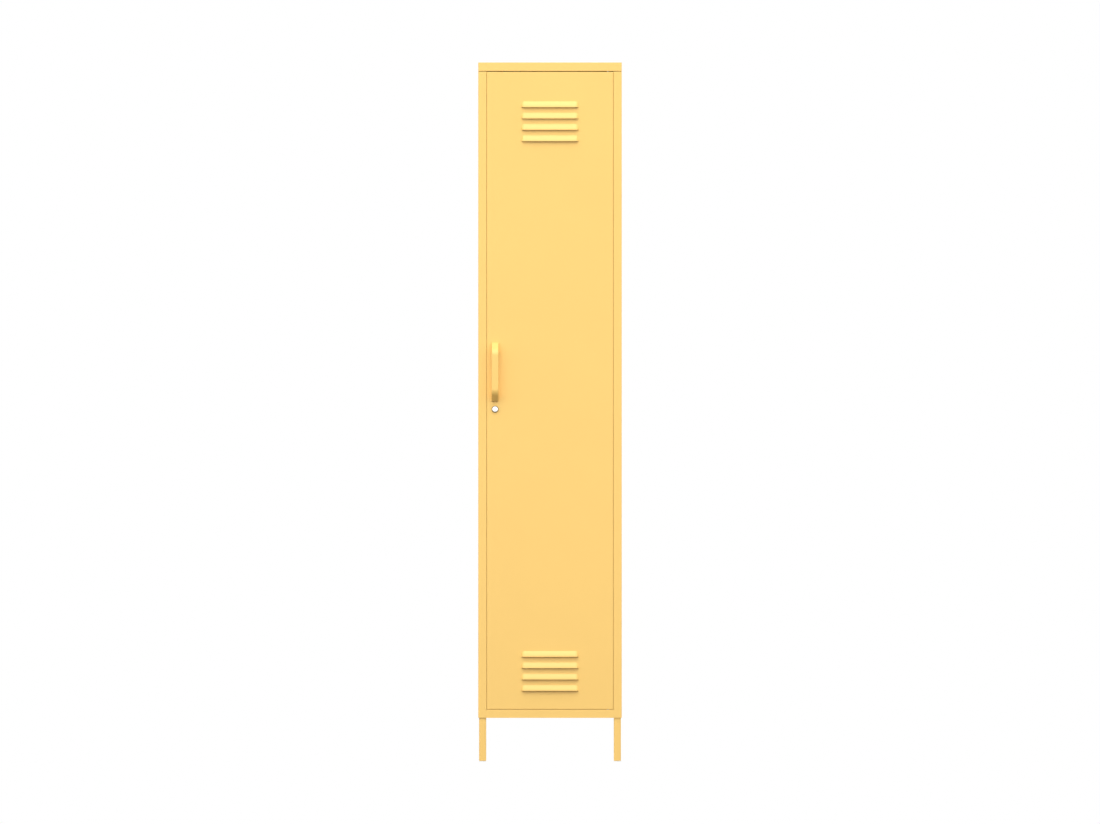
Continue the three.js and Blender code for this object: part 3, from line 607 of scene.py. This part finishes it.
def back_sheet():
    low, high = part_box("back_panel")
    sheet = block((LEFT + SHEET, low.y, FLOOR_TOP), (RIGHT - SHEET, high.y, lid_low.z))
    anchors = []
    for x in (-ANCHOR_SPACING / 2, ANCHOR_SPACING / 2):
        anchors.append(rod("+y", (x, low.y, lid_low.z - ANCHOR_DROP), ANCHOR_RADIUS, DRILL_LENGTH))
    piece("back_sheet", carved(sheet, *anchors), PAINT, "cabinet", "back_panel")


def bush_drill(end, z):
    """A drill through a sheet, for the upper or the lower pivot bush."""
    place = middle(f"{end}_pivot_bush")
    return rod("+z", (place.x, place.y, z), PIVOT_RADIUS + BUSH_WALL + SEAT, DRILL_LENGTH)


def floor_tray():
    """The floor, folded down into the front and the rear rail, with wings over the legs."""
    low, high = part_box("floor_pan")
    rail = RIGHT - POST_WIDTH + POST_NOTCH
    section = folded([(BACK, low.z), (BACK, high.z), (FRONT, high.z), (FRONT, low.z)])
    x_to_z = Matrix(((0, 0, 1, 0), (1, 0, 0, 0), (0, 1, 0, 0), (0, 0, 0, 1)))
    rails = moved(prism(section, -rail, rail), x_to_z)
    solids = [carved(rails, bush_drill("lower", high.z))]
    ends = FRONT + FOLD + SEAT, BACK - FOLD - SEAT
    for start, stop, turned_down in ((low.x, -rail, low.x), (rail, high.x, high.x - SHEET)):
        solids.append(block((start, ends[0], high.z - SHEET), (stop, ends[1], high.z)))
        flange_low = (turned_down, FRONT + FLOOR_FLANGE_INSET, low.z + SHEET)
        flange_high = (turned_down + SHEET, BACK - FLOOR_FLANGE_INSET, high.z - SHEET)
        solids.append(block(flange_low, flange_high))
    piece("floor_tray", joined(*solids), PAINT, "cabinet", "floor_pan")


def leg(corner):
    """A square tube, with a tab welded across its top and a nut under the tab."""
    low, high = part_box(f"leg_{corner}")
    in_x = 1 if corner.endswith("left") else -1
    in_y = 1 if corner.startswith("front") else -1
    size = high.x - low.x
    bore = size - 2 * LEG_WALL
    under = high.z - LEG_PLATE
    outlines = rectangle(size, size, LEG_CORNER), rectangle(bore, bore, LEG_CORNER - LEG_WALL)
    tube = prism(outlines[0], low.z, under, outlines[1])
    half = size / 2
    ends = [(-half, -half), (half, -half), (half, half + LEG_TAB), (-half, half + LEG_TAB)]
    plate = prism(rounded([(*end, LEG_CORNER) for end in ends]), under, high.z)
    bottom = under - LEG_NUT_HEIGHT
    inner, outer = LEG_BOLT_RADIUS, LEG_NUT_RADIUS
    ring = [(inner, bottom), (outer, bottom), (outer, under), (inner, under), (inner, bottom)]
    nut = moved(turned(ring, steps=6), Matrix.Translation((0, half + LEG_TAB / 2, 0)))
    y = low.y + half if in_y > 0 else high.y - half
    place = Matrix.Translation((low.x + half, y, 0)) @ Matrix.Diagonal((in_x, in_y, 1, 1))
    body = moved(joined(tube, plate, nut), place)
    piece(f"leg_tube_{corner}", body, PAINT, "cabinet", f"leg_{corner}")


def carcass():
    side_panel("left", True)
    side_panel("right", False)
    back_sheet()
    floor_tray()
    lid = carved(tray("top_lid", LID_LIP), bush_drill("upper", lid_low.z))
    piece("lid", lid, PAINT, "cabinet", "top_lid")
    for corner in CORNERS:
        leg(corner)
    for number in (1, 2, 3):
        shelf = f"shelf_{number}"
        piece(f"{shelf}_tray", tray(shelf, SHELF_LIP), PAINT, "cabinet", shelf)


# Door


def louvre_feet():
    """Heights of the hoods' lower edges, from the middle of the door."""
    top = door_high.z - DOOR_MIDDLE
    upper = [top - UPPER_LOUVRES_DROP - row * LOUVRE_PITCH for row in range(LOUVRE_ROWS)]
    lower = [LOWER_LOUVRES_RISE - top + row * LOUVRE_PITCH for row in range(LOUVRE_ROWS)]
    return sorted(upper + lower)


def hood(u, rise):
    """How far a hood stands out: its upper corners are rounded and its ends taper."""
    end = max(0, (abs(u) - LOUVRE_LENGTH / 2) / LOUVRE_TAPER + 1)
    height = max(0, rise / LOUVRE_HEIGHT)
    width = math.sqrt(max(0, 1 - height**2))
    if rise < -SHEET / 8 or end >= width:
        return 0
    return LOUVRE_REACH * (1 - height**LOUVRE_CURVE) * math.sqrt(1 - (end / width) ** 2)


def door_lines():
    """Lines of the grid over the door's face, with fine ones over the louvres."""
    edge_u, edge_v = door_high.x - FOLD, door_high.z - DOOR_MIDDLE - FOLD
    flat = LOUVRE_LENGTH / 2 - LOUVRE_TAPER
    steps = [step / LOUVRE_STEPS for step in range(LOUVRE_STEPS + 1)]
    taper = [flat + LOUVRE_TAPER * math.sin(math.pi / 2 * step) for step in steps]
    right = [flat / 3, flat * 2 / 3, *taper, (edge_u + taper[-1]) / 2, edge_u]
    us = [-u for u in right[::-1]] + [0] + right
    vs = [-edge_v, edge_v] + [edge_v * step / 8 for step in range(-5, 6)]
    for foot in louvre_feet():
        vs += [foot - LOUVRE_SLIT, *(foot + LOUVRE_HEIGHT * step for step in steps)]
    return us, sorted(vs)


def door_skin():
    feet = louvre_feet()

    def press(u, v):
        return max(hood(u, v - foot) for foot in feet)

    def is_slit(u, v):
        return abs(u) < LOUVRE_LENGTH / 2 and any(-LOUVRE_SLIT < v - foot < 0 for foot in feet)

    skin = pan(*door_lines(), door_high.y - FRONT, DOOR_LIP, press, is_slit)
    upright = Matrix(((1, 0, 0, 0), (0, 0, 1, FRONT), (0, 1, 0, DOOR_MIDDLE), (0, 0, 0, 1)))
    drills = []
    bores = [("lock_housing", LOCK_BODY_RADIUS)]
    bores += [(f"handle_screw_{end}", SCREW_RADIUS) for end in ("upper", "lower")]
    for node, radius in bores:
        place = middle(node)
        drills.append(rod("+y", (place.x, FRONT, place.z), radius + SEAT, DRILL_LENGTH))
    for node, z in (("upper_pivot_pin", door_high.z), ("lower_pivot_pin", door_low.z)):
        place = middle(node)
        drills.append(rod("+z", (place.x, place.y, z), PIVOT_RADIUS + SEAT, DRILL_LENGTH))
    piece("door_skin", carved(moved(skin, upright), *drills), PAINT, "door", "door_panel")


def handle():
    """A bow handle: its side outline in slices across its width, rounded, crowned and waisted."""
    low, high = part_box("door_handle")
    reach, half_width, end = high.y - low.y, (high.x - low.x) / 2, (high.z - low.z) / 2
    outline = rounded(handle_corners(reach, end), steps=10)
    inward = inward_ways(outline)
    bm = bmesh.new()
    slices = []
    for step in range(HANDLE_STEPS + 1):
        across = -math.cos(math.pi * step / HANDLE_STEPS)
        lost = max(0, HANDLE_EDGE - (1 - abs(across)) * half_width)
        inset = HANDLE_EDGE - math.sqrt(HANDLE_EDGE**2 - lost**2)
        row = []
        for point, way in zip(outline, inward):
            height, out = point + way * inset
            out -= HANDLE_CROWN * across**2 * max(0, out) / reach
            waist = 1 - HANDLE_WAIST * (1 - (height / end) ** 2)
            row.append(bm.verts.new((across * half_width * waist, -max(0, out), height)))
        slices.append(row)
    for first, second in zip(slices, slices[1:]):
        stitch(bm, first, second)
    for last in (slices[0], slices[-1]):
        bm.faces.new(last)
    centre = (low + high) / 2
    bow = moved(bm, Matrix.Translation((centre.x, high.y, centre.z)))
    piece("handle_bow", bow, PAINT, "door", "door_handle")


def handle_corners(reach, end):
    """The corners round the handle's side, as (height, distance from the door, radius)."""
    grip = end - HANDLE_SLOPE
    base = -3 * HANDLE_EDGE
    upper = [
        (grip - HANDLE_BAR / 2, reach - HANDLE_BAR, HANDLE_BEND / 2),
        (end - HANDLE_FOOT, base, 0),
        (end, base, 0),
        (end, HANDLE_TIP, HANDLE_NOSE),
        (grip, reach, HANDLE_BEND),
    ]
    return upper + [(-height, out, radius) for height, out, radius in upper[::-1]]


def inward_ways(points):
    """The way to the inside at each point of an outline that runs anticlockwise."""
    ways = []
    for i, point in enumerate(points):
        step = points[(i + 1) % len(points)] - points[i - 1]
        ways.append(Vector((-step.y, step.x)).normalized())
    return ways


# Lock


def lock_shell():
    low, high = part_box("lock_housing")
    radius, length = (high.x - low.x) / 2, high.y - low.y
    bore = LOCK_PLUG_RADIUS + SEAT / 2
    face = LOCK_FACE_RADIUS - 2 * EDGE_BREAK
    profile = [(bore, length), (bore, EDGE_BREAK), (bore + EDGE_BREAK, 0), (face, 0)]
    profile += [(LOCK_FACE_RADIUS - EDGE_BREAK / 2, EDGE_BREAK / 2), (LOCK_FACE_RADIUS, 2 * EDGE_BREAK)]
    profile += [(radius, LOCK_HEAD - EDGE_BREAK), (radius, LOCK_HEAD), (LOCK_BODY_RADIUS, LOCK_HEAD)]
    profile += [(LOCK_BODY_RADIUS, length), (bore, length)]
    centre = middle("lock_housing")
    shell = moved(turned(profile), along("+y", (centre.x, low.y, centre.z)))
    piece("lock_shell", shell, CHROME, "door", "lock_housing")


def lock_core():
    """The plug, with its keyway in front and its square end for the cam."""
    low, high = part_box("lock_plug")
    x, z = middle("lock_housing").x, middle("lock_housing").z
    barrel_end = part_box("lock_housing")[1].y
    length = barrel_end - low.y
    profile = [(0, 0), (LOCK_PLUG_RADIUS - EDGE_BREAK, 0), (LOCK_PLUG_RADIUS, EDGE_BREAK)]
    profile += [(LOCK_PLUG_RADIUS, length), (0, length)]
    barrel = moved(turned(profile), along("+y", (x, low.y, z)))
    keyway = block(
        (x - KEYWAY_WIDTH / 2, low.y - SHEET, z - KEYWAY_HEIGHT / 2),
        (x + KEYWAY_WIDTH / 2, low.y + KEYWAY_DEPTH, z + KEYWAY_HEIGHT / 2),
    )
    square = CAM_DRIVE / 2
    drive = block((x - square, barrel_end - SHEET, z - square), (x + square, high.y, z + square))
    core = carved(carved(barrel, keyway), drive, operation="UNION")
    piece("lock_core", core, CHROME, "lock_barrel", "lock_plug")


# Small turned pieces


def screw(node, body, axis, shank, head):
    """A domed screw with a cross recess, its shank along an axis."""
    low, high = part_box(node)
    place = (low + high) / 2
    if axis == "-z":
        place.z, radius, length = high.z, (high.x - low.x) / 2, high.z - low.z
    else:
        place.y = low.y if axis == "+y" else high.y
        radius, length = (high.x - low.x) / 2, high.y - low.y
    angles = (0, 0.3, 0.6, 0.9, 1.2, math.pi / 2)
    dome = [(radius * math.sin(a), head * SCREW_DOME * (1 - math.cos(a))) for a in angles]
    profile = [*dome, (radius, head), (shank, head), (shank, length - 2 * EDGE_BREAK)]
    profile += [(shank - EDGE_BREAK, length), (0, length)]
    slot = [radius * RECESS_HALF_WIDTH, radius * RECESS_HALF_LENGTH]
    cuts = [block((-a, -b, -head), (a, b, head * RECESS_DEPTH)) for a, b in (slot, slot[::-1])]
    made = moved(carved(turned(profile, steps=40), *cuts), along(axis, place))
    piece(f"{node}_recessed", made, ZINC, body, node)


def pivot_pin(node, axis):
    """A pin through the door's sheet, with its collar against the sheet's inner face."""
    low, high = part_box(node)
    place = (low + high) / 2
    inside = SHEET + PIVOT_COLLAR
    place.z = door_high.z - inside if axis == "+z" else door_low.z + inside
    radius, length = (high.x - low.x) / 2, high.z - low.z
    tip = 3 * EDGE_BREAK
    profile = [(0, 0), (radius - EDGE_BREAK, 0), (radius, EDGE_BREAK)]
    profile += [(radius, PIVOT_COLLAR - EDGE_BREAK), (radius - EDGE_BREAK, PIVOT_COLLAR)]
    profile += [(PIVOT_RADIUS, PIVOT_COLLAR), (PIVOT_RADIUS, length - tip)]
    profile += [(PIVOT_RADIUS - tip, length), (0, length)]
    piece(f"{node}_turned", moved(turned(profile), along(axis, place)), ZINC, "door", node)


def pivot_bush(node):
    """A bush with its flange down on the sheet, clear of the door."""
    low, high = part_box(node)
    place = (low + high) / 2
    place.z = low.z - SEAT
    flange, length = (high.x - low.x) / 2, high.z - low.z
    bore = PIVOT_RADIUS + SEAT / 2
    wall, step = bore + BUSH_WALL, length - BUSH_FLANGE
    profile = [(bore, 0), (wall - EDGE_BREAK, 0), (wall, EDGE_BREAK), (wall, step), (flange, step)]
    profile += [(flange, length - EDGE_BREAK), (flange - EDGE_BREAK, length)]
    profile += [(bore + EDGE_BREAK, length), (bore, length - EDGE_BREAK), (bore, 0)]
    piece(f"{node}_turned", moved(turned(profile), along("+z", place)), NYLON, "cabinet", node)


def bumper(node):
    low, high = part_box(node)
    place = (low + high) / 2
    place.y = high.y
    radius, height = (high.x - low.x) / 2, high.y - low.y
    angles = (0, 0.3, 0.6, 0.9, 1.2)
    dome = [(radius * math.cos(a) ** 0.5, height * (0.3 + 0.7 * math.sin(a))) for a in angles]
    profile = [(0, 0), (radius, 0), *dome, (0, height)]
    piece(f"{node}_pad", moved(turned(profile), along("-y", place)), RUBBER, "cabinet", node)


def small_pieces():
    for corner in CORNERS:
        screw(f"leg_bolt_{corner}", "cabinet", "-z", LEG_BOLT_RADIUS, LEG_BOLT_RADIUS)
    for end in ("upper", "lower"):
        for side in ("left", "right"):
            screw(f"back_screw_{end}_{side}", "cabinet", "+y", SCREW_RADIUS, SCREW_HEAD)
        screw(f"handle_screw_{end}", "door", "-y", SCREW_RADIUS, SCREW_HEAD)
        pivot_bush(f"{end}_pivot_bush")
        bumper(f"door_bumper_{end}")
    screw("lock_cam_screw", "lock_barrel", "-y", CAM_SCREW_RADIUS, SCREW_HEAD)
    pivot_pin("upper_pivot_pin", "+z")
    pivot_pin("lower_pivot_pin", "-z")


# Nodes kept from the frame


KEPT = {
    "glide": NYLON,
    "shelf_strip": PAINT,
    "shelf_1_clip": ZINC,
    "shelf_2_clip": ZINC,
    "shelf_3_clip": ZINC,
    "door_stiffener": PAINT,
    "lock_nut": ZINC,
    "lock_cam": ZINC,
    "magnetic_catch": PLASTIC,
    "catch_magnet": FERRITE,
}


def kept_nodes():
    for name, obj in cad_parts.items():
        for start, finish in KEPT.items():
            if name.startswith(start) and name != "lock_cam_screw":
                obj.data.materials.clear()
                obj.data.materials.append(finish)
                soften(obj)


def soften(obj):
    """Takes the sharpness off a node's edges."""
    merge = obj.modifiers.new("merge", "WELD")
    merge.merge_threshold = WELD_DISTANCE
    flatten = obj.modifiers.new("flatten", "DECIMATE")
    flatten.decimate_type = "DISSOLVE"
    flatten.angle_limit = math.radians(1)
    bevel = obj.modifiers.new("edges", "BEVEL")
    bevel.width = SOFT_EDGE
    bevel.segments = 2
    bevel.limit_method = "ANGLE"
    bevel.angle_limit = math.radians(50)
    keep_flats(obj)


# Studio


def studio():
    scene = bpy.context.scene
    scene.view_settings.view_transform = "Standard"
    camera = bpy.data.objects.new("camera", bpy.data.cameras.new("camera"))
    camera.data.type = "ORTHO"
    camera.data.ortho_scale = VIEW_WIDTH
    camera.location = (0, -CAMERA_DISTANCE, VIEW_HEIGHT)
    camera.rotation_euler = (math.pi / 2, 0, 0)
    scene.collection.objects.link(camera)
    scene.camera = camera
    ground()
    sky()
    softbox("key_softbox", place=(-0.5, -3, 5), size=3, power=80)
    softbox("rear_softbox", place=(1, 3.6, 1.8), size=3, power=50)


def softbox(name, place, size, power):
    lamp = bpy.data.lights.new(name, "AREA")
    lamp.size = size
    lamp.energy = power
    obj = bpy.data.objects.new(name, lamp)
    obj.location = place
    target = Vector((0, 0, VIEW_HEIGHT))
    obj.rotation_euler = (target - obj.location).to_track_quat("-Z", "Y").to_euler()
    bpy.context.scene.collection.objects.link(obj)


def light_path(shading, rays):
    """1 for rays of these kinds, 0 for the others."""
    total = 0
    for ray in rays:
        total = total + shading.node("ShaderNodeLightPath", {}, {}, f"Is {ray} Ray")
    return total


def ground():
    """A pale floor to the camera. To other rays it is dim, so that it throws little light back."""
    bm = bmesh.new()
    bmesh.ops.create_grid(bm, x_segments=1, y_segments=1, size=FLOOR_REACH)
    floor = plain("studio_floor", bm)
    pale = material("studio_floor")
    dim = (0.1, 0.1, 0.1, 1)
    seen = light_path(pale, ["Camera"])
    white = 0.7 + 0.03 * pale.noise(30, 3)
    colours = {0: seen, 6: dim, 7: white}
    pale.finish(base_color=pale.node("ShaderNodeMix", {"data_type": "RGBA"}, colours, 2))
    floor.data.materials.append(pale.owner)


def sky():
    """A bright dome over a dim lower half, dim high up behind, with white walls for the camera."""
    world = bpy.data.worlds.new("studio")
    air = Shading(world)
    low, high, walls = [
        air.node("ShaderNodeBackground", {}, {"Color": (1, 1, 1, 1), "Strength": strength})
        for strength in (LOWER_LIGHT, DOME_LIGHT, WALL_LIGHT)
    ]
    way = air.node("ShaderNodeTexCoord", {}, {}, "Generated")
    rise, behind = [air.node("ShaderNodeSeparateXYZ", {}, {0: way}, axis) for axis in ("Z", "Y")]
    above = air.ramp(rise, -0.15, 0)
    high_behind = air.ramp(rise, 0.2, 0.6) * air.ramp(behind, -0.3, 0.1)
    dome = air.node("ShaderNodeMixShader", {}, {0: above - 0.9 * high_behind, 1: low, 2: high})
    seen = light_path(air, ["Camera", "Transmission"])
    surface = air.node("ShaderNodeMixShader", {}, {0: seen, 1: dome, 2: walls})
    air.feed(air.nodes["World Output"].inputs["Surface"], surface)
    bpy.context.scene.world = world


carcass()
door_skin()
handle()
lock_shell()
lock_core()
small_pieces()
kept_nodes()
studio()
